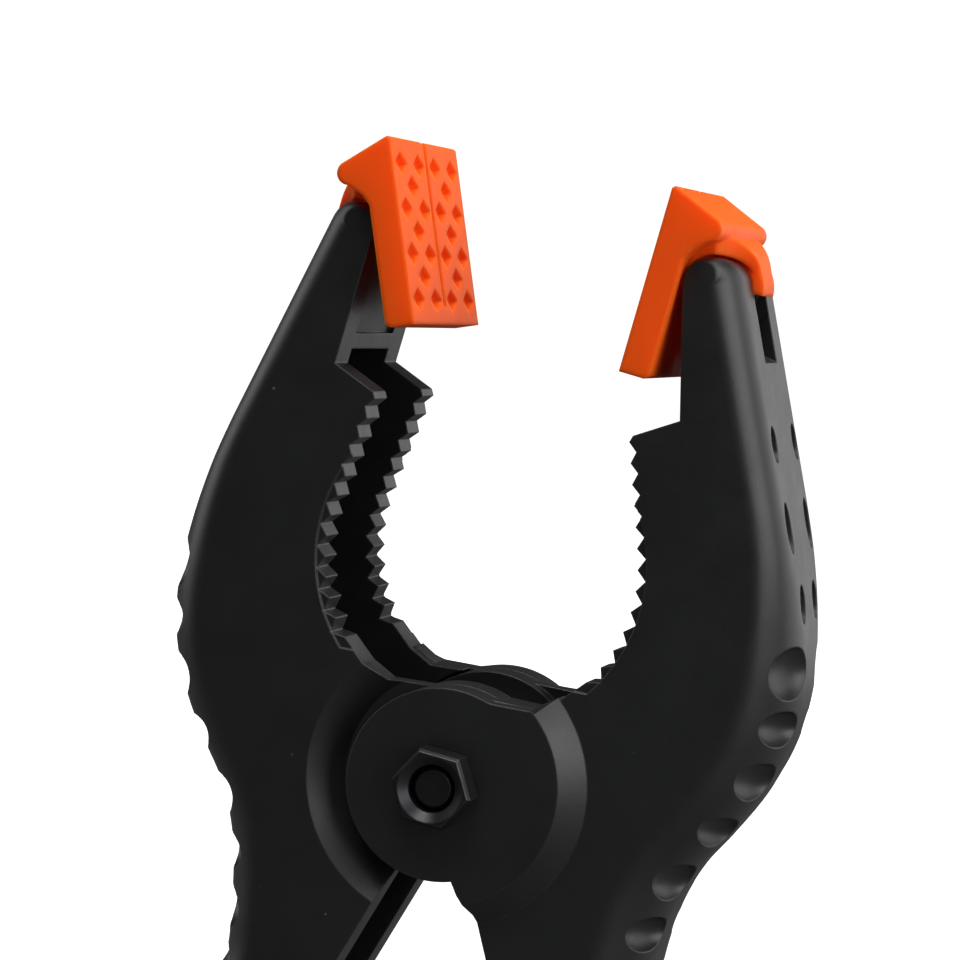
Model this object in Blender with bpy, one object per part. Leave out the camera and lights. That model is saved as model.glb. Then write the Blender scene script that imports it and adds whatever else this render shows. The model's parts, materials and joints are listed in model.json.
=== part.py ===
"""Hand spring clamp: two identical nylon levers on a pivot bolt, a torsion spring and two swivelling pads.

The origin is on the jaw pivot, midway between the clamp's two sides. +Z runs towards the jaw tips,
X runs from lever to lever and the nut is on the -Y side. Lengths below are millimetres.
"""
import math

import bmesh
import bpy
from mathutils import Matrix, Vector

MM = 0.001

# ---- levers ----
HALF_WIDTH = 10.7        # lever half width across its two side plates
PLATE = 4.2              # side plate thickness
WEB = (2.6, 4.0)         # thickness of the outer web that joins the plates: at the jaw, and below it
ROUND_WIDE = (4.0, 8.6)  # rounding of the outer edges, measured across the width: at the jaw, and below it
ROUND_DEEP = (3.0, 5.2)  # the same rounding, measured in from the outer edge
ROUND_CHANGE = (32.0, 12.0)  # heights between which the rounding and the web grow
GAP = 0.3                # clearance between neighbouring pieces
EAR_RADIUS = 9.31
EAR_PROUD = 12.65        # outer face of an outside ear, from the middle
EAR_SPLIT = 8.9          # inner face of an outside ear
EAR_INNER = 4.9          # inner face of an inside ear
RAMP_RADIUS = 14.0       # foot of the ramp up to an outside ear
RAMP_TOP = 11.6          # top of that ramp
RECESS_RADII = (10.5, 13.9)  # round recess beside an outside ear: at its floor and at its rim
BOLT_HOLE_RADIUS = 2.08
TIP = (17.95, 51.0)      # pad pivot at the jaw tip
TIP_RADIUS = 2.65
FLARE_DEG = 18.9         # lean of the straight outer edge below the tip
NOTCH = (17.1, 38.0)     # inner corner between the shelf and the tip
SHELF = (12.9, 35.9)     # jaw end of the shelf above the teeth
SEAT = ((15.9, 48.3), (14.0, 48.3), (15.0, 41.0), (17.2, 41.0))  # cut behind the pad, between the plates
THROAT = ((3.2, 8.72), (7.5, 8.6), (9.9, 9.9))  # inner edge from the ear to the lowest tooth
CORE = 4.0               # half height of the plate where it reaches the pivot axis
RAMP_FOOT_DEG = (-74.0, -67.0)  # directions between which the ramp's lower end slants out
RAMP_END_DEG = 70.0      # direction where the ramp ends above the throat
TEETH = 12
TOOTH_DEPTH = (0.6, 1.05)  # at the highest tooth and at the lowest
TOOTH_ARC = (0.2, 21.5, 15.2)
TOOTH_ARC_TOP_DEG = 13.0
TOOTH_ARC_SPAN_DEG = 51.5
TOOTH_STRAIGHT = 10.6
SCOOPS = 11
SCOOP_TOP = 15.9
SCOOP_PITCH = 5.45
SCOOP_TURN_DEG = 29.0    # how far round the rounding a scoop sits
SCOOP_SIZE = (1.75, 4.1)  # depth radius and half-length across the edge
SCOOP_TALL = (2.15, 1.85)  # half-height of even and odd scoops; the top one is taller
SCOOP_TOP_TALL = 2.6
OVALS = ((37.0, 1.8), (29.4, 2.5), (22.3, 1.9))  # height and half-length of each
OVAL_SIZE = (1.7, 1.35)  # depth radius and half-width
OVAL_INSET = 1.0         # how far inside the start of the rounding an oval sits
DENT_STEPS = 6           # resolution of the scoops
LEDGE_RADIUS = 16.1
LEDGE_DEPTH = 0.3
HANDLE_LEAN_DEG = 22.6
HANDLE_START = (3.7, -8.9)
HANDLE_LENGTH = 51.9
HANDLE_WIDTH = 11.2
CURVE_STEPS = 2          # points per span of the outer curve
ROUND_STEPS = 3          # steps across each rounded edge

# ---- hardware ----
BOLT_RADIUS = 2.0
NUT_FLATS = 7.0
NUT_HEIGHT = 3.2
CORNER_CHAMFER = (0.93, 0.45)  # scale and depth of the chamfer at a hexagon's free end
HOLE_CHAMFER = (0.9, 0.7)      # width and depth of the nut's countersink
END_RECESS = 1.2         # how far the bolt's end sits inside the nut
SLEEVE_RADIUS = 2.8
WIRE_RADIUS = 1.0
COIL_RADIUS = 4.2
COIL_TURNS = 3.55
COIL_PITCH = 2.1
COIL_START_DEG = -28.0
LEG_REACH = (38.0, 35.0)  # how far down the handle a spring leg ends, and where it turns to rest on the web

# ---- pads ----
PAD_HALF_WIDTH = 12.2
PAD_FACE = 5.8           # grip face to the pad pivot
PAD_BACK = 2.95          # slab back to the pad pivot
PAD_TOP = 8.0
PAD_BOTTOM = -10.1
NOSE = (-1.3, 5.05, 1.15)  # x, z and radius of the nose over the tip
POCKET_COLUMNS = ((2.95, (2.5, 6.9, 11.3, 15.7)), (6.1, (4.7, 9.1, 13.5)), (9.3, (2.5, 6.9, 11.3, 15.7)))
POCKET_SIZE = (2.15, 1.15)  # half-width and half-height of a diamond at the face
POCKET_DEPTH = 0.7
GROOVE = (0.5, 0.5, 1.8)  # half-width, depth, and height of its end above the pad's bottom
PAD_TILT_RIGHT_DEG = 7.4
PAD_TILT_LEFT_DEG = 16.8
HOOK_HALF_WIDTH = 3.0
SADDLE_HALF_WIDTH = 9.2
SADDLE_OUTER = 5.0
SLOT_HALF_WIDTH = 3.4
HOOK_INNER = 2.5
HOOK_OUTER = 3.7
NOSE_STEPS = 6
SADDLE_STEPS = 10
BAR_RADIUS = 2.2

for old in list(bpy.data.objects):
    bpy.data.objects.remove(old)

parts = bpy.data.collections.new("spring_clamp")
cutters = bpy.data.collections.new("cutters")
bpy.context.scene.collection.children.link(parts)
bpy.context.scene.collection.children.link(cutters)


# ---------------------------------------------------------------- helpers
def material(name, colour, roughness, metallic=0.0):
    made = bpy.data.materials.new(name)
    made.use_nodes = True
    shader = made.node_tree.nodes["Principled BSDF"]
    shader.inputs["Base Color"].default_value = (*colour, 1.0)
    shader.inputs["Roughness"].default_value = roughness
    shader.inputs["Metallic"].default_value = metallic
    made.diffuse_color = (*colour, 1.0)
    return made


def mesh_object(name, verts, faces, made_of, collection=parts):
    """A closed mesh from millimetre points, with every face turned outwards."""
    mesh = bpy.data.meshes.new(name)
    mesh.from_pydata([Vector(v) * MM for v in verts], [], faces)
    work = bmesh.new()
    work.from_mesh(mesh)
    bmesh.ops.recalc_face_normals(work, faces=work.faces)
    work.to_mesh(mesh)
    work.free()
    obj = bpy.data.objects.new(name, mesh)
    collection.objects.link(obj)
    if made_of is not None:
        mesh.materials.append(made_of)
    if collection is cutters:
        obj.hide_render = True
        obj.display_type = "WIRE"
    return obj


def stack(name, rings, made_of, collection=parts):
    """A solid through a stack of rings that have the same number of points."""
    count = len(rings[0])
    verts = [p for ring in rings for p in ring]
    faces = [tuple(range(count)), tuple((len(rings) - 1) * count + i for i in range(count))]
    for level in range(len(rings) - 1):
        for i in range(count):
            j = (i + 1) % count
            a = level * count
            b = a + count
            faces.append((a + i, a + j, b + j, b + i))
    return mesh_object(name, verts, faces, made_of, collection)


def prism(name, outline, y_low, y_high, made_of, collection=parts):
    """An XZ outline extruded along Y."""
    return stack(name, [[(x, y, z) for x, z in outline] for y in (y_low, y_high)], made_of, collection)


def turned(name, profile, made_of, collection=parts, segments=48, centre=(0.0, 0.0)):
    """A closed (radius, y) profile turned about the Y axis through centre."""
    verts = []
    faces = []
    count = len(profile)
    for k in range(segments):
        angle = 2 * math.pi * k / segments
        for r, y in profile:
            verts.append((centre[0] + r * math.cos(angle), y, centre[1] + r * math.sin(angle)))
    for k in range(segments):
        n = (k + 1) % segments
        for i in range(count):
            j = (i + 1) % count
            faces.append((k * count + i, k * count + j, n * count + j, n * count + i))
    obj = mesh_object(name, verts, faces, made_of, collection)
    work = bmesh.new()
    work.from_mesh(obj.data)
    bmesh.ops.remove_doubles(work, verts=work.verts, dist=1e-7)
    bmesh.ops.dissolve_degenerate(work, edges=work.edges, dist=1e-7)
    bmesh.ops.recalc_face_normals(work, faces=work.faces)
    work.to_mesh(obj.data)
    work.free()
    return obj


def joined(name, objects, collection=cutters):
    """Several separate closed cutters held as one object."""
    work = bmesh.new()
    for obj in objects:
        work.from_mesh(obj.data)
    mesh = bpy.data.meshes.new(name)
    work.to_mesh(mesh)
    work.free()
    for obj in objects:
        bpy.data.objects.remove(obj)
    whole = bpy.data.objects.new(name, mesh)
    collection.objects.link(whole)
    whole.hide_render = True
    whole.display_type = "WIRE"
    return whole


def combine(obj, other, operation):
    """One exact Boolean step on obj."""
    step = obj.modifiers.new(other.name, "BOOLEAN")
    step.operation = operation
    step.solver = "EXACT"
    step.object = other


def shade(obj, degrees=24.0):
    for face in obj.data.polygons:
        face.use_smooth = True
    obj.data.set_sharp_from_angle(angle=math.radians(degrees))


def settle(obj):
    """Replace obj's mesh by its shape after its modifiers."""
    bpy.context.view_layer.update()
    graph = bpy.context.evaluated_depsgraph_get()
    mesh = bpy.data.meshes.new_from_object(obj.evaluated_get(graph))
    obj.modifiers.clear()
    obj.data = mesh
    work = bmesh.new()
    work.from_mesh(mesh)
    bmesh.ops.remove_doubles(work, verts=work.verts, dist=2e-6)
    bmesh.ops.dissolve_degenerate(work, edges=work.edges, dist=1e-6)
    bmesh.ops.dissolve_limit(work, angle_limit=math.radians(0.05), verts=work.verts, edges=work.edges)
    bmesh.ops.triangulate(work, faces=[f for f in work.faces if len(f.verts) > 4])
    work.to_mesh(mesh)
    work.free()


def arc(cx, cz, r, start_deg, end_deg, steps):
    """Points along an arc in the XZ plane."""
    points = []
    for k in range(steps + 1):
        angle = math.radians(start_deg + (end_deg - start_deg) * k / steps)
        points.append((cx + r * math.cos(angle), cz + r * math.sin(angle)))
    return points


def smooth_curve(knots, steps):
    """A Catmull-Rom curve through knots, from the second to the last but one."""
    points = []
    for a, b, c, d in zip(knots, knots[1:], knots[2:], knots[3:]):
        for k in range(steps):
            t = k / steps
            point = []
            for i in (0, 1):
                lift = (2 * a[i] - 5 * b[i] + 4 * c[i] - d[i]) * t * t
                twist = (3 * b[i] - a[i] - 3 * c[i] + d[i]) * t ** 3
                point.append(0.5 * (2 * b[i] + (c[i] - a[i]) * t + lift + twist))
            points.append(tuple(point))
    points.append(knots[-2])
    return points


def eased(z, ends):
    """A value that goes smoothly from ends[0] above ROUND_CHANGE to ends[1] below it."""
    high, low = ROUND_CHANGE
    t = min(1.0, max(0.0, (high - z) / (high - low)))
    t = t * t * (3 - 2 * t)
    return ends[0] + (ends[1] - ends[0]) * t


def inner_run(points):
    """The outer edge moved in by the web's thickness."""
    moved = []
    for i, (x, z) in enumerate(points):
        distance = -eased(z, WEB)
        a = points[max(i - 1, 0)]
        b = points[min(i + 1, len(points) - 1)]
        dx = b[0] - a[0]
        dz = b[1] - a[1]
        length = math.hypot(dx, dz)
        moved.append((x - dz / length * distance, z + dx / length * distance))
    return moved


# ---------------------------------------------------------------- the lever's side view
lean = math.radians(HANDLE_LEAN_DEG)
DOWN = (math.sin(lean), -math.cos(lean))
OUT = (math.cos(lean), math.sin(lean))


def on_handle(along, across):
    """A point on the handle: distance down its inner edge, and outwards from that edge."""
    return (HANDLE_START[0] + DOWN[0] * along + OUT[0] * across,
            HANDLE_START[1] + DOWN[1] * along + OUT[1] * across)


def outer_edge():
    """The lever's outer edge from below the tip to the handle's end."""
    flare = math.radians(FLARE_DEG)
    top = (TIP[0] + TIP_RADIUS * math.cos(flare), TIP[1] + TIP_RADIUS * math.sin(flare))
    straight = [(top[0] + math.tan(flare) * drop, top[1] - drop) for drop in (0.0, 20.4)]
    bulge = [straight[0], straight[1], (29.4, 25.6), (30.8, 20.3), (31.6, 15.3), (31.5, 11.2),
             (30.7, 7.2), (28.9, 2.6), (26.5, -1.5), (24.2, -5.0), (22.6, -8.8), (21.7, -12.9),
             (21.3, -17.4), on_handle(19.0, HANDLE_WIDTH), on_handle(29.0, HANDLE_WIDTH),
             on_handle(40.0, HANDLE_WIDTH)]
    half = HANDLE_WIDTH / 2
    end = on_handle(HANDLE_LENGTH - half * 0.3, HANDLE_WIDTH)
    return [straight[0]] + smooth_curve(bulge, CURVE_STEPS) + [end]


def tooth_point(along, depth):
    """A point on the tooth line: distance down from the first tip, and depth into the plate."""
    cx, cz, r = TOOTH_ARC
    top = math.radians(TOOTH_ARC_TOP_DEG)
    corner = (cx + r * math.cos(top), cz + r * math.sin(top))
    if along < TOOTH_STRAIGHT:
        rest = TOOTH_STRAIGHT - along
        return (corner[0] - math.sin(top) * rest + math.cos(top) * depth,
                corner[1] + math.cos(top) * rest + math.sin(top) * depth)
    angle = top - (along - TOOTH_STRAIGHT) / r
    return (cx + (r + depth) * math.cos(angle), cz + (r + depth) * math.sin(angle))


def toothed_edge():
    """Tooth tips and roots from the lowest tip up to the first one."""
    length = TOOTH_STRAIGHT + TOOTH_ARC[2] * math.radians(TOOTH_ARC_SPAN_DEG)
    pitch = length / TEETH
    points = []
    for k in range(TEETH, 0, -1):
        points.append(tooth_point(k * pitch, 0.0))
        share = (k - 0.5) / TEETH
        depth = TOOTH_DEPTH[0] * (1 - share) + TOOTH_DEPTH[1] * share
        points.append(tooth_point((k - 0.5) * pitch, depth))
    points.append(tooth_point(0.0, 0.0))
    return points


def lever_outline():
    """(x, z, how much of the edge rounding applies) points round a lever's side plate, without its ears."""
    outer = outer_edge()
    half = HANDLE_WIDTH / 2
    centre = on_handle(HANDLE_LENGTH, half)
    cap = arc(centre[0], centre[1], half, HANDLE_LEAN_DEG, HANDLE_LEAN_DEG - 180.0, 8)
    points = [(x, z, 1.0) for x, z in outer]
    for k, (x, z) in enumerate(cap[:-1]):
        points.append((x, z, max(0.0, 1.0 - 1.15 * k / (len(cap) - 1))))
    points.append((*cap[-1], 0.0))
    points += [(*HANDLE_START, 0.0), (0.0, -CORE, 0.0), (0.0, CORE, 0.0)]
    points += [(x, z, 0.0) for x, z in THROAT]
    points += [(x, z, 0.0) for x, z in toothed_edge()]
    points += [(*SHELF, 0.0), (*NOTCH, 0.0)]
    tip = arc(TIP[0], TIP[1], TIP_RADIUS, 188.4, FLARE_DEG, 7)
    for k, (x, z) in enumerate(tip[:-1]):
        share = max(0.0, k / (len(tip) - 1) - 0.3) / 0.7
        points.append((x, z, share * share * (3 - 2 * share)))
    return points


def lever_body(name, made_of):
    """The lever's outline given its width, with rounded long outer edges."""
    outline = lever_outline()
    count = len(outline)
    normals = []
    for i in range(count):
        a = outline[i - 1]
        b = outline[(i + 1) % count]
        dx = b[0] - a[0]
        dz = b[1] - a[1]
        length = math.hypot(dx, dz)
        normals.append((dz / length, -dx / length))
    turns = [math.pi / 2 * k / ROUND_STEPS for k in range(ROUND_STEPS + 1)]
    rings = []
    for side, turn in [(-1, a) for a in reversed(turns)] + [(1, a) for a in turns]:
        ring = []
        for (x, z, amount), (nx, nz) in zip(outline, normals):
            wide = 0.8 + (eased(z, ROUND_WIDE) - 0.8) * amount
            inset = eased(z, ROUND_DEEP) * amount * (1 - math.cos(turn))
            y = side * (HALF_WIDTH - wide + wide * math.sin(turn))
            ring.append((x + nx * inset, y, z + nz * inset))
        rings.append(ring)
    return stack(name, rings, made_of)


def channel_outline():
    """The open channel between the side plates, as a cutter."""
    web = inner_run(outer_edge())
    kept = [p for p in web if p[1] < 39.0 and p[1] > -47.0]
    return ([(18.0, 45.9), (19.2, 46.2)] + kept
            + [on_handle(45.0, HANDLE_WIDTH - WEB[1]), on_handle(45.0, -6.0), (-25.0, -20.0),
               (-25.0, 39.4), (18.2, 39.4), (18.7, 40.6)])


def hub_extent(angle, ramp):
    """How far the outside ear reaches in one direction, at a height where its ramp has that radius."""
    degrees = math.degrees(angle)
    foot, full = RAMP_FOOT_DEG
    if degrees < foot or degrees > RAMP_END_DEG:
        return EAR_RADIUS
    limit = ramp
    if degrees < full:
        # the ramp's foot reaches past the plate's inner edge, along a slanted line
        limit = min(limit, EAR_RADIUS + (RAMP_RADIUS - EAR_RADIUS) * (degrees - foot) / (full - foot))
    x, z = THROAT[1]
    if angle > math.atan2(z, x):
        limit = min(limit, z / math.sin(angle))
    else:
        # below the throat corner the edge runs straight to the lowest tooth
        tooth = toothed_edge()[0]
        slope = (tooth[1] - z) / (tooth[0] - x)
        across = math.sin(angle) - slope * math.cos(angle)
        if across > 1e-6:
            limit = min(limit, (z - slope * x) / across)
    return max(EAR_RADIUS, limit)


def hub(name, made_of, collection):
    """The outside ear: a disc that stands proud of the plate, with a ramp down to it."""
    angles = [math.radians(a) for a in (-74.0, -72.0, -70.0, -68.5, -67.0, -64.0)]
    angles += [math.radians(a) for a in range(-60, 49, 6)]
    angles += [math.atan2(THROAT[1][1], THROAT[1][0])]
    angles += [math.radians(a) for a in (54.0, 60.0, 66.0)]
    angles += [math.radians(a) for a in range(72, 285, 8)]
    rings = []
    for y, ramp in ((-EAR_PROUD, RAMP_TOP), (-HALF_WIDTH, RAMP_RADIUS), (-EAR_SPLIT + 0.9, RAMP_RADIUS)):
        rings.append([(hub_extent(a, ramp) * math.cos(a), y, hub_extent(a, ramp) * math.sin(a))
                      for a in angles])
    return stack(name, rings, made_of, collection)


def edge_at(z):
    """(x, lean in degrees) of the outer edge at height z."""
    edge = outer_edge()
    for a, b in zip(edge, edge[1:]):
        if b[1] <= z <= a[1]:
            t = (a[1] - z) / (a[1] - b[1])
            return a[0] + (b[0] - a[0]) * t, math.degrees(math.atan2(a[0] - b[0], a[1] - b[1]))
    return edge[-1][0], 0.0


def dent(z, around_deg, side, radii, lift):
    """An oval cutter on the outer edge at height z, set round the edge's rounding by an angle.

    radii are its depth, its half-length across the edge and its half-height.
    """
    x, slope = edge_at(z)
    around = math.radians(around_deg)
    wide = eased(z, ROUND_WIDE)
    deep = eased(z, ROUND_DEEP)
    y = HALF_WIDTH - wide + wide * math.sin(around)
    x -= deep * (1 - math.cos(around))
    facing = math.atan2(math.sin(around) / wide, math.cos(around) / deep)
    work = bmesh.new()
    bmesh.ops.create_uvsphere(work, u_segments=DENT_STEPS * 2, v_segments=DENT_STEPS, radius=1.0)
    size = Matrix.Diagonal((*(radius * MM for radius in radii), 1.0))
    face = Matrix.Rotation(side * facing, 4, "Z")
    lean_over = Matrix.Rotation(math.radians(slope), 4, "Y")
    place = Matrix.Translation(Vector((x + lift, side * y, z)) * MM)
    work.transform(place @ lean_over @ face @ size)
    mesh = bpy.data.meshes.new("dent")
    work.to_mesh(mesh)
    work.free()
    obj = bpy.data.objects.new("dent", mesh)
    cutters.objects.link(obj)
    return obj


def scoops(name):
    """Finger scoops along both rounded outer edges, and the ovals above them."""
    made = []
    for side in (-1, 1):
        for k in range(SCOOPS):
            tall = SCOOP_TOP_TALL if k == 0 else SCOOP_TALL[k % 2]
            made.append(dent(SCOOP_TOP - SCOOP_PITCH * k, SCOOP_TURN_DEG, side, (*SCOOP_SIZE, tall), 0.1))
        for z, tall in OVALS:
            made.append(dent(z, 0.0, side, (*OVAL_SIZE, tall), 0.0))
            made[-1].data.transform(Matrix.Translation((0.0, -side * OVAL_INSET * MM, 0.0)))
    return joined(name, made)


def lever(name, made_of):
    """One lever in the right-hand place: outside ear at -Y, inside ear at +Y."""
    body = lever_body(name, made_of)
    steps = []
    channel = PLATE - HALF_WIDTH
    hollow = prism(name + "_channel", channel_outline(), channel, -channel, None, cutters)
    steps.append((hollow, "DIFFERENCE"))
    steps.append((prism(name + "_seat", SEAT, channel, -channel, None, cutters), "DIFFERENCE"))
    wide = SLOT_HALF_WIDTH
    groove = [(BAR_RADIUS, -wide), (4.0, -wide), (4.0, wide), (BAR_RADIUS, wide)]
    steps.append((turned(name + "_bar", groove, None, cutters, 24, TIP), "DIFFERENCE"))
    slot = [(19.0, 50.4), (25.0, 50.4), (27.0, 43.4), (19.0, 45.4)]
    steps.append((prism(name + "_slot", slot, -wide + 0.1, wide - 0.1, None, cutters), "DIFFERENCE"))
    cx, cz, r = TOOTH_ARC
    ledge = arc(cx, cz, LEDGE_RADIUS, -41.0, 32.0, 14) + [(5.0, 30.0), (5.0, 11.0)]
    low = prism("low", ledge, -HALF_WIDTH - 1, -HALF_WIDTH + LEDGE_DEPTH, None, cutters)
    high = prism("high", ledge, HALF_WIDTH - LEDGE_DEPTH, HALF_WIDTH + 1, None, cutters)
    steps.append((joined(name + "_ledge", [low, high]), "DIFFERENCE"))
    steps.append((scoops(name + "_scoops"), "DIFFERENCE"))
    steps.append((hub(name + "_hub", None, cutters), "UNION"))
    # the inside ear, which the pocket and the recess then trim to its thickness
    low = EAR_INNER - 0.7
    high = EAR_SPLIT + 0.6
    disc = [(0.0, low), (EAR_RADIUS, low), (EAR_RADIUS, high), (0.0, high)]
    steps.append((turned(name + "_disc", disc, None, cutters), "UNION"))
    pocket = [(0.0, -EAR_SPLIT), (EAR_RADIUS + GAP, -EAR_SPLIT),
              (EAR_RADIUS + GAP, EAR_INNER), (0.0, EAR_INNER)]
    steps.append((turned(name + "_pocket", pocket, None, cutters), "DIFFERENCE"))
    face = EAR_SPLIT - GAP
    recess = [(0.0, face), (RECESS_RADII[0], face), (RECESS_RADII[1], HALF_WIDTH),
              (RAMP_RADIUS, 12.0), (0.0, 12.0)]
    steps.append((turned(name + "_recess", recess, None, cutters, 64), "DIFFERENCE"))
    hole = [(0.0, -14.0), (BOLT_HOLE_RADIUS, -14.0), (BOLT_HOLE_RADIUS, 12.0), (0.0, 12.0)]
    steps.append((turned(name + "_hole", hole, None, cutters, 24), "DIFFERENCE"))
    for other, operation in steps:
        combine(body, other, operation)
        settle(body)
    shade(body)
    return body


# ---------------------------------------------------------------- pads
def pad_outline():
    """(x, z) of a right-hand pad's side view about its pivot, at no tilt."""
    nose = arc(*NOSE, 62.0, -75.0, NOSE_STEPS)
    return ([(-PAD_FACE, PAD_TOP - 0.25), (-PAD_FACE + 0.25, PAD_TOP)] + nose
            + [(-1.75, 3.35), (-2.4, 2.75), (-PAD_BACK, 1.7), (-PAD_BACK, PAD_BOTTOM + 0.4),
               (-PAD_BACK - 0.4, PAD_BOTTOM), (-PAD_FACE, PAD_BOTTOM)])


def saddle(name):
    """The part of a pad that hugs the jaw tip: wide over the top, tapering to the hook."""
    rings = []
    for k in range(SADDLE_STEPS + 1):
        degrees = 172.0 - 138.0 * k / SADDLE_STEPS
        angle = math.radians(degrees)
        t = min(1.0, max(0.0, (100.0 - degrees) / 62.0))
        half = SADDLE_HALF_WIDTH + (HOOK_HALF_WIDTH - SADDLE_HALF_WIDTH) * t * (2 - t)
        outer = HOOK_OUTER + (SADDLE_OUTER - HOOK_OUTER) * (1 - t)
        ring = []
        for r, y in ((PAD_BACK, -half), (outer, -half), (outer, half), (PAD_BACK, half)):
            ring.append((r * math.cos(angle), y, r * math.sin(angle)))
        rings.append(ring)
    return stack(name, rings, None, cutters)


def pockets(name):
    """Diamond pockets and the middle groove in a pad's grip face."""
    made = []
    wide, tall = POCKET_SIZE
    for column, rows in POCKET_COLUMNS:
        for y in (-column, column):
            for row in rows:
                z = PAD_TOP - row
                ring = []
                for x, grow in ((-PAD_FACE - POCKET_DEPTH / 2, 1.12), (-PAD_FACE + POCKET_DEPTH, 0.76)):
                    ring.append([(x, y + wide * grow, z), (x, y, z + tall * grow),
                                 (x, y - wide * grow, z), (x, y, z - tall * grow)])
                made.append(stack("pocket", ring, None, cutters))
    half, depth, end = GROOVE
    groove = [(-PAD_FACE - 1.0, PAD_TOP + 1.0), (-PAD_FACE + depth, PAD_TOP + 1.0),
              (-PAD_FACE + depth, PAD_BOTTOM + end), (-PAD_FACE - 1.0, PAD_BOTTOM + end)]
    made.append(prism("groove", groove, -half, half, None, cutters))
    return joined(name, made)


def pad(name, made_of, tilt_deg, side):
    """A swivelling pad; side is 1 on the right lever and -1 on the left one."""
    body = prism(name, pad_outline(), -PAD_HALF_WIDTH, PAD_HALF_WIDTH, made_of)
    root = arc(0.0, 0.0, HOOK_OUTER + 0.9, 128.0, 98.0, 3)
    hook = root + arc(0.0, 0.0, HOOK_OUTER, 84.0, 2.0, 9) + arc(0.0, 0.0, HOOK_INNER, 2.0, 135.0, 12)
    combine(body, prism(name + "_hook", hook, -HOOK_HALF_WIDTH, HOOK_HALF_WIDTH, None, cutters), "UNION")
    settle(body)
    combine(body, saddle(name + "_saddle"), "UNION")
    settle(body)
    combine(body, pockets(name + "_pockets"), "DIFFERENCE")
    settle(body)
    turn = Matrix.Rotation(math.radians(tilt_deg), 4, "Y")
    body.data.transform(turn)
    if side < 0:
        body.data.transform(Matrix.Rotation(math.pi, 4, "Z"))
    body.location = (side * TIP[0] * MM, 0.0, TIP[1] * MM)
    shade(body)
    return body


# ---------------------------------------------------------------- hardware
def hexagon(name, made_of, y_low, y_high, hole):
    """A hexagon standing on an ear, with corners chamfered at its free end."""
    corner = NUT_FLATS / 2 / math.cos(math.pi / 6)
    rings = []
    free_low = y_low < 0
    scale, depth = CORNER_CHAMFER
    levels = [(y_low, 1.0), (y_high - depth, 1.0), (y_high, scale)]
    if free_low:
        levels = [(y_low, scale), (y_low + depth, 1.0), (y_high, 1.0)]
    for y, size in levels:
        rings.append([(corner * size * math.cos(math.radians(60 * k + 55)), y,
                       corner * size * math.sin(math.radians(60 * k + 55))) for k in range(6)])
    body = stack(name, rings, made_of)
    if hole:
        mouth, sunk = HOLE_CHAMFER
        bore = [(0.0, y_low - 1.0), (hole + mouth, y_low - 1.0), (hole + mouth, y_low),
                (hole, y_low + sunk), (hole, y_high + 1.0), (0.0, y_high + 1.0)]
        combine(body, turned(name + "_bore", bore, None, cutters, 24), "DIFFERENCE")
        settle(body)
    return body


def coil(name, made_of):
    """The torsion spring: a close coil on the sleeve with a leg down each handle's channel."""
    curve = bpy.data.curves.new(name, "CURVE")
    curve.dimensions = "3D"
    curve.bevel_depth = WIRE_RADIUS * MM
    curve.bevel_resolution = 2
    curve.use_fill_caps = True
    steps_per_turn = 16
    total = COIL_TURNS * 2 * math.pi
    count = int(COIL_TURNS * steps_per_turn)
    start = math.radians(COIL_START_DEG)
    points = []
    for k in range(count + 1):
        t = k / count
        angle = start + total * t
        y = -COIL_PITCH * COIL_TURNS / 2 + COIL_PITCH * COIL_TURNS * t
        points.append((COIL_RADIUS * math.cos(angle), y, COIL_RADIUS * math.sin(angle)))
    first = points[0]
    last = points[-1]
    rest = HANDLE_WIDTH - WEB[1] - WIRE_RADIUS - GAP
    foot = on_handle(LEG_REACH[0], rest)
    knee = on_handle(LEG_REACH[1], rest)
    begin = [(foot[0], first[1], foot[1]), (knee[0], first[1], knee[1])]
    end = [(-knee[0], last[1], knee[1]), (-foot[0], last[1], foot[1])]
    line = begin + points + end
    spline = curve.splines.new("POLY")
    spline.points.add(len(line) - 1)
    for point, (x, y, z) in zip(spline.points, line):
        point.co = (x * MM, y * MM, z * MM, 1.0)
    temporary = bpy.data.objects.new(name + "_line", curve)
    cutters.objects.link(temporary)
    bpy.context.view_layer.update()
    graph = bpy.context.evaluated_depsgraph_get()
    mesh = bpy.data.meshes.new_from_object(temporary.evaluated_get(graph))
    bpy.data.objects.remove(temporary)
    work = bmesh.new()
    work.from_mesh(mesh)
    bmesh.ops.remove_doubles(work, verts=work.verts, dist=2e-6)
    bmesh.ops.recalc_face_normals(work, faces=work.faces)
    work.to_mesh(mesh)
    work.free()
    mesh.materials.clear()
    mesh.materials.append(made_of)
    obj = bpy.data.objects.new(name, mesh)
    parts.objects.link(obj)
    shade(obj, 60.0)
    return obj


# ---------------------------------------------------------------- build
nylon_left = material("black_nylon_left", (0.012, 0.012, 0.013), 0.45)
nylon_right = material("black_nylon_right", (0.012, 0.012, 0.013), 0.45)
orange_left = material("orange_pad_left", (0.95, 0.09, 0.007), 0.4)
orange_right = material("orange_pad_right", (0.95, 0.09, 0.007), 0.4)
bolt_steel = material("black_steel_bolt", (0.03, 0.03, 0.032), 0.4, 0.8)
nut_steel = material("black_steel_nut", (0.035, 0.035, 0.037), 0.4, 0.8)
sleeve_steel = material("sleeve_steel", (0.35, 0.35, 0.36), 0.35, 1.0)
spring_steel = material("spring_steel", (0.3, 0.3, 0.31), 0.3, 1.0)

right_lever = lever("right_lever", nylon_right)
left_lever = bpy.data.objects.new("left_lever", right_lever.data.copy())
left_lever.data.transform(Matrix.Rotation(math.pi, 4, "Z"))
left_lever.data.materials.clear()
left_lever.data.materials.append(nylon_left)
parts.objects.link(left_lever)

pad("right_pad", orange_right, PAD_TILT_RIGHT_DEG, 1)
pad("left_pad", orange_left, PAD_TILT_LEFT_DEG, -1)

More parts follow.
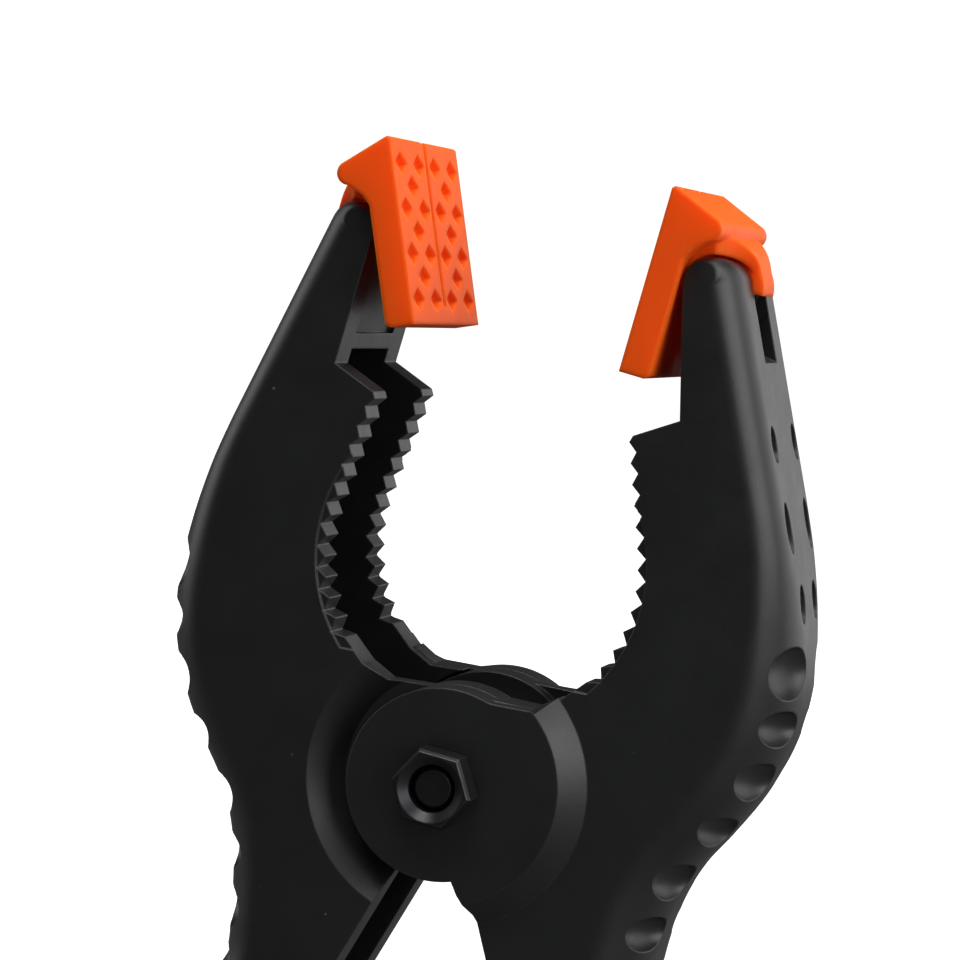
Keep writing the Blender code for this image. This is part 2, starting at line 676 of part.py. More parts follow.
stand = EAR_PROUD + GAP
nut = hexagon("pivot_nut", nut_steel, -stand - NUT_HEIGHT, -stand, BOLT_RADIUS + GAP)
shade(nut)

end = -stand - NUT_HEIGHT + END_RECESS
shank = [(0.0, end), (BOLT_RADIUS - 0.3, end), (BOLT_RADIUS, end + 0.3),
         (BOLT_RADIUS, stand + 1.0), (0.0, stand + 1.0)]
bolt = hexagon("pivot_bolt", bolt_steel, stand, stand + NUT_HEIGHT, 0.0)
combine(bolt, turned("pivot_shank", shank, None, cutters, 24), "UNION")
settle(bolt)
shade(bolt)

inside = EAR_INNER - GAP
ring = [(BOLT_HOLE_RADIUS, -inside), (SLEEVE_RADIUS, -inside),
        (SLEEVE_RADIUS, inside), (BOLT_HOLE_RADIUS, inside)]
shade(turned("pivot_sleeve", ring, sleeve_steel, parts, 24))
coil("torsion_spring", spring_steel)

for spare in list(cutters.objects):
    bpy.data.objects.remove(spare)
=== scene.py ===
"""Looks for the spring clamp: finer levers, pads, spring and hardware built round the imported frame.

Lengths in the shapes are millimetres and are scaled by MM as meshes are made. The floor, the lights and the
camera are placed in metres.
"""

import json
import math

import bmesh
import bpy
from mathutils import Matrix, Vector

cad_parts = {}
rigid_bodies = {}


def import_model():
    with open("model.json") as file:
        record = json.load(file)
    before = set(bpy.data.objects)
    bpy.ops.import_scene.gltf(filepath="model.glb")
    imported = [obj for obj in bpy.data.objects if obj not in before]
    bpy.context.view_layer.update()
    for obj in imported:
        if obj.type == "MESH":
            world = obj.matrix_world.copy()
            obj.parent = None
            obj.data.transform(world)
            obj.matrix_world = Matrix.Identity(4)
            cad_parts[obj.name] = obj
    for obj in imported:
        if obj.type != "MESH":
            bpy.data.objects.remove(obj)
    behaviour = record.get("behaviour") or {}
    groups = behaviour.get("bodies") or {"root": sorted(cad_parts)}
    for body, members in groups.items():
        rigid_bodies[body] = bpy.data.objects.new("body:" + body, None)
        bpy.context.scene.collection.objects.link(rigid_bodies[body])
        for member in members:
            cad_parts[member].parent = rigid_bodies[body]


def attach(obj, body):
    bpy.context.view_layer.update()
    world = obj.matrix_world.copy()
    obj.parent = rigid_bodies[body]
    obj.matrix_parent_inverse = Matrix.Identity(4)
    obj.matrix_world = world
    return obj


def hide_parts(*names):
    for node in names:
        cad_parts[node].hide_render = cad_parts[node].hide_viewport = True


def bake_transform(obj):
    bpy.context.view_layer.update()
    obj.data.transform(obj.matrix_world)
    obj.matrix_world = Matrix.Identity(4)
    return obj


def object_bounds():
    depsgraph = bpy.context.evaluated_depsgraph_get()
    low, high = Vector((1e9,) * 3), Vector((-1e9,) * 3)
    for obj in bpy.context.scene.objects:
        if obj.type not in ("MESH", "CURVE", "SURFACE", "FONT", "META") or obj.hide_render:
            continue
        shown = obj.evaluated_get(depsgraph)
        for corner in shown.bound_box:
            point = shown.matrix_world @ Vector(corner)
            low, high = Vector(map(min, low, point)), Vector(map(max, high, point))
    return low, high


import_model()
cad_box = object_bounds()

MM = 0.001
OVERCUT = 1.0            # how far a cutter reaches past the surface that it cuts
WELD = 2e-6              # metres; corners closer than this become one
THIN = 1e-6              # metres; faces thinner than this are dissolved
AXIS_WELD = 1e-7         # metres; the same for the points that a turned profile has on its axis
FLAT_DEG = 0.05          # faces that lean less than this against each other become one
SHADE_DEG = 24.0         # edges sharper than this stay sharp

# ---- levers ----
HALF_WIDTH = 10.7        # lever half width across its two side plates
PLATE = 4.2              # side plate thickness
WEB = (2.6, 4.0)         # thickness of the outer web that joins the plates: at the jaw, and below it
ROUND_WIDE = (4.0, 8.6)  # rounding of the outer edges, measured across the width: at the jaw, and below it
ROUND_DEEP = (3.0, 5.2)  # the same rounding, measured in from the outer edge
ROUND_CHANGE = (32.0, 12.0)  # heights between which the rounding and the web grow
GAP = 0.3                # clearance between neighbouring pieces
EAR_RADIUS = 9.31        # all four ears
EAR_PROUD = 12.65        # outer face of an outside ear, from the middle
EAR_SPLIT = 8.9          # inner face of an outside ear
EAR_INNER = 4.9          # inner face of an inside ear
RAMP_RADIUS = 14.0       # foot of the ramp up to an outside ear
RAMP_TOP = 11.6          # top of that ramp
RECESS_RADII = (10.5, 13.9)  # round recess beside an outside ear: at its floor and at its rim
BOLT_HOLE_RADIUS = 2.08
TIP = (17.95, 51.0)      # pad pivot at the jaw tip
TIP_RADIUS = 2.65
FLARE_DEG = 18.9         # lean of the straight outer edge below the tip
NOTCH = (17.1, 38.0)     # inner corner between the shelf and the tip
SHELF = (12.9, 35.9)     # jaw end of the shelf above the teeth
SEAT = ((15.9, 48.3), (14.0, 48.3), (15.0, 41.0), (17.2, 41.0))  # cut behind the pad, between the plates
THROAT = ((3.2, 8.72), (7.5, 8.6), (9.9, 9.9))  # inner edge from the ear to the lowest tooth
CORE = 4.0               # half height of the plate where it reaches the pivot axis
RAMP_FOOT_DEG = (-74.0, -67.0)  # directions between which the ramp's lower end slants out
RAMP_END_DEG = 70.0      # direction where the ramp ends above the throat
TEETH = 12               # notches in each plate, with one more tooth than notches
TOOTH_DEPTH = (0.6, 1.05)  # at the highest tooth and at the lowest
TOOTH_ARC = (0.2, 21.5, 15.2)  # x, z and radius of the curve that the lower tooth tips follow
TOOTH_ARC_TOP_DEG = 13.0   # direction on it where the straight run to the top tooth begins
TOOTH_ARC_SPAN_DEG = 51.5  # how far down from there the teeth go
TOOTH_STRAIGHT = 10.6    # length of that straight run
SCOOPS = 11              # along each outer edge
SCOOP_TOP = 15.9         # height of the top scoop
SCOOP_PITCH = 5.45       # drop from one scoop to the next
SCOOP_TURN_DEG = 29.0    # how far round the rounding a scoop sits
SCOOP_SIZE = (1.75, 4.1)  # depth radius and half-length across the edge
SCOOP_TALL = (2.15, 1.85)  # half-height of even and odd scoops; the top one is taller
SCOOP_TOP_TALL = 2.6     # half-height of the top scoop
OVALS = ((37.0, 1.8), (29.4, 2.5), (22.3, 1.9))  # height and half-length of each
OVAL_SIZE = (1.7, 1.35)  # depth radius and half-width
OVAL_INSET = 1.0         # how far inside the start of the rounding an oval sits
DENT_STEPS = 14          # resolution of the scoops
LEDGE_RADIUS = 16.1      # edge of the thinner band behind the teeth, about the same centre as their curve
LEDGE_DEPTH = 0.3        # how far that band is sunk into the plates' outer faces
HANDLE_LEAN_DEG = 22.6   # from straight down
HANDLE_START = (3.7, -8.9)  # upper end of the handle's inner edge
HANDLE_LENGTH = 51.9     # from there to the middle of the end cap
HANDLE_WIDTH = 11.2      # inner edge to outer edge
OUTER_DROP = 20.4        # height of the straight outer edge below the tip
OUTER_KNOTS = ((29.4, 25.6), (30.8, 20.3), (31.6, 15.3), (31.5, 11.2), (30.7, 7.2), (28.9, 2.6),
               (26.5, -1.5), (24.2, -5.0), (22.6, -8.8), (21.7, -12.9), (21.3, -17.4))
HANDLE_KNOTS = (19.0, 29.0, 40.0)  # distances down the handle where the outer curve follows it
EDGE_STOP = 0.3          # share of the end cap's radius by which the outer edge stops short of the cap
CAP_STEPS = 24           # steps round the end cap
CAP_FADE = 1.15          # how fast the edge rounding fades round the end cap
TIP_START_DEG = 188.4    # direction where the tip's round end begins
TIP_STEPS = 21           # steps round the tip's round end
TIP_FADE = 0.3           # share of the tip's round end that has almost no edge rounding
SLIGHT_ROUND = 0.8       # rounding of the edges that are nearly square, measured across the width
CURVE_STEPS = 6          # points per span of the outer curve
ROUND_STEPS = 9          # steps across each rounded edge
CHANNEL_TOP = ((18.0, 45.9), (19.2, 46.2))  # upper end of the open channel, under the tip
CHANNEL_SPAN = (-47.0, 39.0)  # heights between which the channel follows the web
CHANNEL_FOOT = (45.0, -6.0)   # how far down the handle the channel ends, and its reach past the inner edge
CHANNEL_MOUTH = ((-25.0, -20.0), (-25.0, 39.4), (18.2, 39.4), (18.7, 40.6))  # its open side, to the jaw
HUB_FOOT_DEG = (-74.0, -72.0, -70.0, -68.5, -67.0, -64.0)  # directions of the hub's corners low down
HUB_FACE_DEG = range(-62, 49, 2)    # along the ramp
HUB_THROAT_DEG = (54.0, 60.0, 66.0)  # past the throat corner
HUB_BACK_DEG = range(72, 284, 3)    # round the plain side
HUB_SUNK = 0.9           # how far the outside ear reaches into the plate past its own inner face
RUNS_ALONG = 1e-6        # below this a direction runs along the edge and never meets it
EAR_SPARE = (0.7, 0.6)   # extra thickness of the inside ear, which the pocket and the recess take off
PAST_PLATE = 12.0        # well outside the plate's face
PAST_EAR = 14.0          # well outside the ear's face
SCOOP_LIFT = 0.1         # how far a scoop's middle stands outside the edge
SLOT = ((19.0, 50.4), (25.0, 50.4), (27.0, 43.4), (19.0, 45.4))  # slot for the pad's hook
SLOT_STEP = 0.1          # the slot is this much narrower, each side, than the groove round the bar
BAR_CLEAR_RADIUS = 4.0   # outside of the groove round the bar
LEDGE_ARC_DEG = (-41.0, 32.0)  # directions between which the ledge's edge is round
LEDGE_STEPS = 40
LEDGE_INSIDE = ((5.0, 30.0), (5.0, 11.0))  # far corners of the ledge's cutter, in the jaw's space

# ---- hardware ----
BOLT_RADIUS = 2.0
NUT_FLATS = 7.0
NUT_HEIGHT = 3.2         # also the bolt head's
CORNER_CHAMFER = (0.93, 0.45)  # scale and depth of the chamfer at a hexagon's free end
HOLE_CHAMFER = (0.9, 0.7)      # width and depth of the nut's countersink
END_RECESS = 1.2         # how far the bolt's end sits inside the nut
SLEEVE_RADIUS = 2.8
WIRE_RADIUS = 1.0
COIL_RADIUS = 4.2
COIL_TURNS = 3.55
COIL_PITCH = 2.1
COIL_START_DEG = -28.0   # where the first leg leaves the coil
COIL_STEPS_PER_TURN = 40
WIRE_SHADE_DEG = 60.0    # the same limit as SHADE_DEG, for the spring's wire
HEX_TURN_DEG = 55        # direction of a hexagon's first corner
SHANK_CHAMFER = 0.3      # at the bolt's free end
LEG_REACH = (38.0, 35.0)  # how far down the handle a spring leg ends, and where it turns to rest on the web

# ---- pads ----
PAD_HALF_WIDTH = 12.2
PAD_FACE = 5.8           # grip face to the pad pivot
PAD_BACK = 2.95          # slab back to the pad pivot
PAD_TOP = 8.0            # above the pad pivot
PAD_BOTTOM = -10.1
PAD_TOP_CHAMFER = 0.25
PAD_FOOT_CHAMFER = 0.4
PAD_NECK = ((-1.75, 3.35), (-2.4, 2.75), (-PAD_BACK, 1.7))  # from the nose down to the slab's back
NOSE = (-1.3, 5.05, 1.15)  # x, z and radius of the nose over the tip
# distance of each column of pockets from the middle, and how far below the pad's top its pockets are
POCKET_COLUMNS = ((2.95, (2.5, 6.9, 11.3, 15.7)), (6.1, (4.7, 9.1, 13.5)), (9.3, (2.5, 6.9, 11.3, 15.7)))
POCKET_SIZE = (2.15, 1.15)  # half-width and half-height of a diamond at the face
POCKET_DEPTH = 0.7
POCKET_TAPER = (1.12, 0.76)  # size of a pocket's cutter outside the face and at the floor
GROOVE = (0.5, 0.5, 1.8)  # half-width, depth, and height of its end above the pad's bottom
PAD_TILT_RIGHT_DEG = 7.4
PAD_TILT_LEFT_DEG = 16.8
HOOK_HALF_WIDTH = 3.0
SADDLE_HALF_WIDTH = 9.2  # half width of the part that hugs the tip, before it narrows
SADDLE_OUTER = 5.0       # its outer radius about the pad pivot
SLOT_HALF_WIDTH = 3.4    # half width of the groove round the bar
HOOK_INNER = 2.5         # inner and outer radius of the hook about the pad pivot
HOOK_OUTER = 3.7
HOOK_ROOT = (0.9, 128.0, 98.0, 3)  # extra radius, arc in degrees and steps where the hook joins the slab
HOOK_BACK = (84.0, 2.0, 18)        # arc in degrees and steps of its outside
HOOK_HOLD = (2.0, 135.0, 24)       # arc in degrees and steps of its inside
NOSE_ARC = (62.0, -75.0, 14)       # arc in degrees and steps of the nose
SADDLE_SPAN_DEG = (172.0, 138.0)   # where the saddle starts, and how far round it goes
SADDLE_TAPER_DEG = (100.0, 62.0)   # where it starts to narrow, and over what angle
SADDLE_STEPS = 26
BAR_RADIUS = 2.2         # bar in the tip that the hook holds

parts = bpy.data.collections.new("looks")
cutters = bpy.data.collections.new("cutters")
bpy.context.scene.collection.children.link(parts)
bpy.context.scene.collection.children.link(cutters)


# ---------------------------------------------------------------- helpers
def mesh_object(name, verts, faces, made_of, collection=parts):
    """A closed mesh from millimetre points, with every face turned outwards."""
    mesh = bpy.data.meshes.new(name)
    mesh.from_pydata([Vector(v) * MM for v in verts], [], faces)
    work = bmesh.new()
    work.from_mesh(mesh)
    bmesh.ops.recalc_face_normals(work, faces=work.faces)
    work.to_mesh(mesh)
    work.free()
    obj = bpy.data.objects.new(name, mesh)
    collection.objects.link(obj)
    if made_of is not None:
        mesh.materials.append(made_of)
    if collection is cutters:
        obj.hide_render = True
        obj.display_type = "WIRE"
    return obj


def stack(name, rings, made_of, collection=parts):
    """A solid through a stack of rings that have the same number of points."""
    count = len(rings[0])
    verts = [p for ring in rings for p in ring]
    faces = [tuple(range(count)), tuple((len(rings) - 1) * count + i for i in range(count))]
    for level in range(len(rings) - 1):
        for i in range(count):
            j = (i + 1) % count
            a = level * count
            b = a + count
            faces.append((a + i, a + j, b + j, b + i))
    return mesh_object(name, verts, faces, made_of, collection)


def prism(name, outline, y_low, y_high, made_of, collection=parts):
    """An XZ outline extruded along Y."""
    return stack(name, [[(x, y, z) for x, z in outline] for y in (y_low, y_high)], made_of, collection)


def turned(name, profile, made_of, collection=parts, segments=96, centre=(0.0, 0.0)):
    """A closed (radius, y) profile turned about the Y axis through centre."""
    verts = []
    faces = []
    count = len(profile)
    for k in range(segments):
        angle = 2 * math.pi * k / segments
        for r, y in profile:
            verts.append((centre[0] + r * math.cos(angle), y, centre[1] + r * math.sin(angle)))
    for k in range(segments):
        n = (k + 1) % segments
        for i in range(count):
            j = (i + 1) % count
            faces.append((k * count + i, k * count + j, n * count + j, n * count + i))
    obj = mesh_object(name, verts, faces, made_of, collection)
    work = bmesh.new()
    work.from_mesh(obj.data)
    bmesh.ops.remove_doubles(work, verts=work.verts, dist=AXIS_WELD)
    bmesh.ops.dissolve_degenerate(work, edges=work.edges, dist=AXIS_WELD)
    bmesh.ops.recalc_face_normals(work, faces=work.faces)
    work.to_mesh(obj.data)
    work.free()
    return obj


def joined(name, objects, collection=cutters):
    """Several separate closed cutters held as one object."""
    work = bmesh.new()
    for obj in objects:
        work.from_mesh(obj.data)
    mesh = bpy.data.meshes.new(name)
    work.to_mesh(mesh)
    work.free()
    for obj in objects:
        bpy.data.objects.remove(obj)
    whole = bpy.data.objects.new(name, mesh)
    collection.objects.link(whole)
    whole.hide_render = True
    whole.display_type = "WIRE"
    return whole


def combine(obj, other, operation):
    """Add one exact Boolean step to obj, which settle then applies."""
    step = obj.modifiers.new(other.name, "BOOLEAN")
    step.operation = operation
    step.solver = "EXACT"
    step.object = other


def shade(obj, degrees=SHADE_DEG):
    """Smooth shading, with the edges that are sharper than degrees kept sharp."""
    for face in obj.data.polygons:
        face.use_smooth = True
    obj.data.set_sharp_from_angle(angle=math.radians(degrees))


def settle(obj):
    """Replace obj's mesh by its shape after its modifiers."""
    bpy.context.view_layer.update()
    graph = bpy.context.evaluated_depsgraph_get()
    mesh = bpy.data.meshes.new_from_object(obj.evaluated_get(graph))
    obj.modifiers.clear()
    obj.data = mesh
    work = bmesh.new()
    work.from_mesh(mesh)
    bmesh.ops.remove_doubles(work, verts=work.verts, dist=WELD)
    bmesh.ops.dissolve_degenerate(work, edges=work.edges, dist=THIN)
    bmesh.ops.dissolve_limit(work, angle_limit=math.radians(FLAT_DEG), verts=work.verts, edges=work.edges)
    bmesh.ops.triangulate(work, faces=[f for f in work.faces if len(f.verts) > 4])
    work.to_mesh(mesh)
    work.free()


def arc(cx, cz, r, start_deg, end_deg, steps):
    """Points along an arc in the XZ plane."""
    points = []
    for k in range(steps + 1):
        angle = math.radians(start_deg + (end_deg - start_deg) * k / steps)
        points.append((cx + r * math.cos(angle), cz + r * math.sin(angle)))
    return points


def smooth_curve(knots, steps):
    """A Catmull-Rom curve through knots, from the second to the last but one."""
    points = []
    for a, b, c, d in zip(knots, knots[1:], knots[2:], knots[3:]):
        for k in range(steps):
            t = k / steps
            point = []
            for i in (0, 1):
                lift = (2 * a[i] - 5 * b[i] + 4 * c[i] - d[i]) * t * t
                twist = (3 * b[i] - a[i] - 3 * c[i] + d[i]) * t ** 3
                point.append(0.5 * (2 * b[i] + (c[i] - a[i]) * t + lift + twist))
            points.append(tuple(point))
    points.append(knots[-2])
    return points


def eased(z, ends):
    """A value that goes smoothly from ends[0] above ROUND_CHANGE to ends[1] below it."""
    high, low = ROUND_CHANGE
    t = min(1.0, max(0.0, (high - z) / (high - low)))
    t = t * t * (3 - 2 * t)
    return ends[0] + (ends[1] - ends[0]) * t


def inner_run(points):
    """The outer edge moved in by the web's thickness."""
    moved = []
    for i, (x, z) in enumerate(points):
        distance = -eased(z, WEB)
        a = points[max(i - 1, 0)]
        b = points[min(i + 1, len(points) - 1)]
        dx = b[0] - a[0]
        dz = b[1] - a[1]
        length = math.hypot(dx, dz)
        moved.append((x - dz / length * distance, z + dx / length * distance))
    return moved


# ---------------------------------------------------------------- the lever's side view
# directions down the right-hand handle and outwards across it
lean = math.radians(HANDLE_LEAN_DEG)
DOWN = (math.sin(lean), -math.cos(lean))
OUT = (math.cos(lean), math.sin(lean))


def on_handle(along, across):
    """A point on the handle: distance down its inner edge, and outwards from that edge."""
    return (HANDLE_START[0] + DOWN[0] * along + OUT[0] * across,
            HANDLE_START[1] + DOWN[1] * along + OUT[1] * across)


def outer_edge():
    """The lever's outer edge from below the tip to the handle's end."""
    flare = math.radians(FLARE_DEG)
    top = (TIP[0] + TIP_RADIUS * math.cos(flare), TIP[1] + TIP_RADIUS * math.sin(flare))
    bulge = [top, (top[0] + math.tan(flare) * OUTER_DROP, top[1] - OUTER_DROP), *OUTER_KNOTS]
    bulge += [on_handle(along, HANDLE_WIDTH) for along in HANDLE_KNOTS]
    end = on_handle(HANDLE_LENGTH - HANDLE_WIDTH / 2 * EDGE_STOP, HANDLE_WIDTH)
    return [top] + smooth_curve(bulge, CURVE_STEPS) + [end]


def tooth_point(along, depth):
    """A point on the tooth line: distance down from the first tip, and depth into the plate."""
    cx, cz, r = TOOTH_ARC
    top = math.radians(TOOTH_ARC_TOP_DEG)
    corner = (cx + r * math.cos(top), cz + r * math.sin(top))
    if along < TOOTH_STRAIGHT:
        rest = TOOTH_STRAIGHT - along
        return (corner[0] - math.sin(top) * rest + math.cos(top) * depth,
                corner[1] + math.cos(top) * rest + math.sin(top) * depth)
    angle = top - (along - TOOTH_STRAIGHT) / r
    return (cx + (r + depth) * math.cos(angle), cz + (r + depth) * math.sin(angle))


def toothed_edge():
    """Tooth tips and roots from the lowest tip up to the first one."""
    length = TOOTH_STRAIGHT + TOOTH_ARC[2] * math.radians(TOOTH_ARC_SPAN_DEG)
    pitch = length / TEETH
    points = []
    for k in range(TEETH, 0, -1):
        points.append(tooth_point(k * pitch, 0.0))
        share = (k - 0.5) / TEETH
        depth = TOOTH_DEPTH[0] * (1 - share) + TOOTH_DEPTH[1] * share
        points.append(tooth_point((k - 0.5) * pitch, depth))
    points.append(tooth_point(0.0, 0.0))
    return points


def lever_outline():
    """(x, z, how much of the edge rounding applies) points round a lever's side plate, without its ears."""
    outer = outer_edge()
    half = HANDLE_WIDTH / 2
    centre = on_handle(HANDLE_LENGTH, half)
    cap = arc(centre[0], centre[1], half, HANDLE_LEAN_DEG, HANDLE_LEAN_DEG - 180.0, CAP_STEPS)
    points = [(x, z, 1.0) for x, z in outer]
    for k, (x, z) in enumerate(cap[:-1]):
        points.append((x, z, max(0.0, 1.0 - CAP_FADE * k / CAP_STEPS)))
    points.append((*cap[-1], 0.0))
    points += [(*HANDLE_START, 0.0), (0.0, -CORE, 0.0), (0.0, CORE, 0.0)]
    points += [(x, z, 0.0) for x, z in THROAT]
    points += [(x, z, 0.0) for x, z in toothed_edge()]
    points += [(*SHELF, 0.0), (*NOTCH, 0.0)]
    tip = arc(TIP[0], TIP[1], TIP_RADIUS, TIP_START_DEG, FLARE_DEG, TIP_STEPS)
    for k, (x, z) in enumerate(tip[:-1]):
        share = max(0.0, k / TIP_STEPS - TIP_FADE) / (1.0 - TIP_FADE)
        points.append((x, z, share * share * (3 - 2 * share)))
    return points


def lever_body(name, made_of):
    """The lever's outline given its width, with rounded long outer edges."""
    outline = lever_outline()
    count = len(outline)
    normals = []
    for i in range(count):
        a = outline[i - 1]
        b = outline[(i + 1) % count]
        dx = b[0] - a[0]
        dz = b[1] - a[1]
        length = math.hypot(dx, dz)
        normals.append((dz / length, -dx / length))
    turns = [math.pi / 2 * k / ROUND_STEPS for k in range(ROUND_STEPS + 1)]
    rings = []
    for side, turn in [(-1, a) for a in reversed(turns)] + [(1, a) for a in turns]:
        ring = []
        for (x, z, amount), (nx, nz) in zip(outline, normals):
            wide = SLIGHT_ROUND + (eased(z, ROUND_WIDE) - SLIGHT_ROUND) * amount
            inset = eased(z, ROUND_DEEP) * amount * (1 - math.cos(turn))
            y = side * (HALF_WIDTH - wide + wide * math.sin(turn))
            ring.append((x + nx * inset, y, z + nz * inset))
        rings.append(ring)
    return stack(name, rings, made_of)


def channel_outline():
    """The open channel between the side plates, as a cutter."""
    low, high = CHANNEL_SPAN
    web = [p for p in inner_run(outer_edge()) if low < p[1] < high]
    end, reach = CHANNEL_FOOT
    foot = [on_handle(end, HANDLE_WIDTH - WEB[1]), on_handle(end, reach)]
    return [*CHANNEL_TOP, *web, *foot, *CHANNEL_MOUTH]


def hub_extent(angle, radius):
    """How far the outside ear reaches in one direction, at a level where its ramp has that radius."""
    degrees = math.degrees(angle)
    foot, full = RAMP_FOOT_DEG
    if degrees < foot or degrees > RAMP_END_DEG:
        return EAR_RADIUS
    limit = radius
    if degrees < full:
        # the ramp's foot reaches past the plate's inner edge, along a slanted line
        limit = min(limit, EAR_RADIUS + (RAMP_RADIUS - EAR_RADIUS) * (degrees - foot) / (full - foot))
    x, z = THROAT[1]
    if angle > math.atan2(z, x):
        limit = min(limit, z / math.sin(angle))
    else:
        # below the throat corner the edge runs straight to the lowest tooth
        tooth = toothed_edge()[0]
        slope = (tooth[1] - z) / (tooth[0] - x)
        across = math.sin(angle) - slope * math.cos(angle)
        if across > RUNS_ALONG:
            limit = min(limit, (z - slope * x) / across)
    return max(EAR_RADIUS, limit)


def hub(name, made_of, collection):
    """The outside ear: a disc that stands proud of the plate, with a ramp down to it."""
    angles = [math.radians(a) for a in (*HUB_FOOT_DEG, *HUB_FACE_DEG)]
    angles += [math.atan2(THROAT[1][1], THROAT[1][0])]
    angles += [math.radians(a) for a in (*HUB_THROAT_DEG, *HUB_BACK_DEG)]
    rings = []
    levels = ((-EAR_PROUD, RAMP_TOP), (-HALF_WIDTH, RAMP_RADIUS), (-EAR_SPLIT + HUB_SUNK, RAMP_RADIUS))
    for y, radius in levels:
        rings.append([(hub_extent(a, radius) * math.cos(a), y, hub_extent(a, radius) * math.sin(a))
                      for a in angles])
    return stack(name, rings, made_of, collection)


def edge_at(z):
    """(x, lean in degrees) of the outer edge at height z."""
    edge = outer_edge()
    for a, b in zip(edge, edge[1:]):
        if b[1] <= z <= a[1]:
            t = (a[1] - z) / (a[1] - b[1])
            return a[0] + (b[0] - a[0]) * t, math.degrees(math.atan2(a[0] - b[0], a[1] - b[1]))
    return edge[-1][0], 0.0


def dent(z, around_deg, side, radii, lift):
    """An oval cutter on the outer edge at height z, set round the edge's rounding by an angle.

    radii are its depth, its half-length across the edge and its half-height. lift moves it outwards.
    """
    x, slope = edge_at(z)
    around = math.radians(around_deg)
    wide = eased(z, ROUND_WIDE)
    deep = eased(z, ROUND_DEEP)
    y = HALF_WIDTH - wide + wide * math.sin(around)
    x -= deep * (1 - math.cos(around))
    facing = math.atan2(math.sin(around) / wide, math.cos(around) / deep)
    work = bmesh.new()
    bmesh.ops.create_uvsphere(work, u_segments=DENT_STEPS * 2, v_segments=DENT_STEPS, radius=1.0)
    size = Matrix.Diagonal((*(radius * MM for radius in radii), 1.0))
    face = Matrix.Rotation(side * facing, 4, "Z")
    lean_over = Matrix.Rotation(math.radians(slope), 4, "Y")
    place = Matrix.Translation(Vector((x + lift, side * y, z)) * MM)
    work.transform(place @ lean_over @ face @ size)
    mesh = bpy.data.meshes.new("dent")
    work.to_mesh(mesh)
    work.free()
    obj = bpy.data.objects.new("dent", mesh)
    cutters.objects.link(obj)
    return obj


def scoops(name):
    """Finger scoops along both rounded outer edges, and the ovals above them."""
    made = []
    for side in (-1, 1):
        for k in range(SCOOPS):
            tall = SCOOP_TOP_TALL if k == 0 else SCOOP_TALL[k % 2]
            z = SCOOP_TOP - SCOOP_PITCH * k
            made.append(dent(z, SCOOP_TURN_DEG, side, (*SCOOP_SIZE, tall), SCOOP_LIFT))
        for z, tall in OVALS:
            made.append(dent(z, 0.0, side, (*OVAL_SIZE, tall), 0.0))
            made[-1].data.transform(Matrix.Translation((0.0, -side * OVAL_INSET * MM, 0.0)))
    return joined(name, made)


def lever(name, made_of):
    """One lever in the right-hand place: outside ear at -Y, inside ear at +Y."""
    body = lever_body(name, made_of)
    steps = []
    channel = PLATE - HALF_WIDTH
    hollow = prism(name + "_channel", channel_outline(), channel, -channel, None, cutters)
    steps.append((hollow, "DIFFERENCE"))
    steps.append((prism(name + "_seat", SEAT, channel, -channel, None, cutters), "DIFFERENCE"))
    wide = SLOT_HALF_WIDTH
    groove = [(BAR_RADIUS, -wide), (BAR_CLEAR_RADIUS, -wide), (BAR_CLEAR_RADIUS, wide), (BAR_RADIUS, wide)]
    steps.append((turned(name + "_bar", groove, None, cutters, segments=48, centre=TIP), "DIFFERENCE"))
    slot = prism(name + "_slot", SLOT, -wide + SLOT_STEP, wide - SLOT_STEP, None, cutters)
    steps.append((slot, "DIFFERENCE"))
    ledge = arc(*TOOTH_ARC[:2], LEDGE_RADIUS, *LEDGE_ARC_DEG, LEDGE_STEPS) + [*LEDGE_INSIDE]
    low = prism("low", ledge, -HALF_WIDTH - OVERCUT, -HALF_WIDTH + LEDGE_DEPTH, None, cutters)
    high = prism("high", ledge, HALF_WIDTH - LEDGE_DEPTH, HALF_WIDTH + OVERCUT, None, cutters)
    steps.append((joined(name + "_ledge", [low, high]), "DIFFERENCE"))
    steps.append((scoops(name + "_scoops"), "DIFFERENCE"))
    steps.append((hub(name + "_hub", None, cutters), "UNION"))
    # the inside ear, which the pocket and the recess then trim to its thickness
    low = EAR_INNER - EAR_SPARE[0]
    high = EAR_SPLIT + EAR_SPARE[1]
    disc = [(0.0, low), (EAR_RADIUS, low), (EAR_RADIUS, high), (0.0, high)]
    steps.append((turned(name + "_disc", disc, None, cutters), "UNION"))
    pocket = [(0.0, -EAR_SPLIT), (EAR_RADIUS + GAP, -EAR_SPLIT),
              (EAR_RADIUS + GAP, EAR_INNER), (0.0, EAR_INNER)]
    steps.append((turned(name + "_pocket", pocket, None, cutters), "DIFFERENCE"))
    face = EAR_SPLIT - GAP
    recess = [(0.0, face), (RECESS_RADII[0], face), (RECESS_RADII[1], HALF_WIDTH),
              (RAMP_RADIUS, PAST_PLATE), (0.0, PAST_PLATE)]
    steps.append((turned(name + "_recess", recess, None, cutters, segments=128), "DIFFERENCE"))
    hole = [(0.0, -PAST_EAR), (BOLT_HOLE_RADIUS, -PAST_EAR),
            (BOLT_HOLE_RADIUS, PAST_PLATE), (0.0, PAST_PLATE)]
    steps.append((turned(name + "_hole", hole, None, cutters, segments=48), "DIFFERENCE"))
    for other, operation in steps:
        combine(body, other, operation)
        settle(body)
    shade(body)
    return body


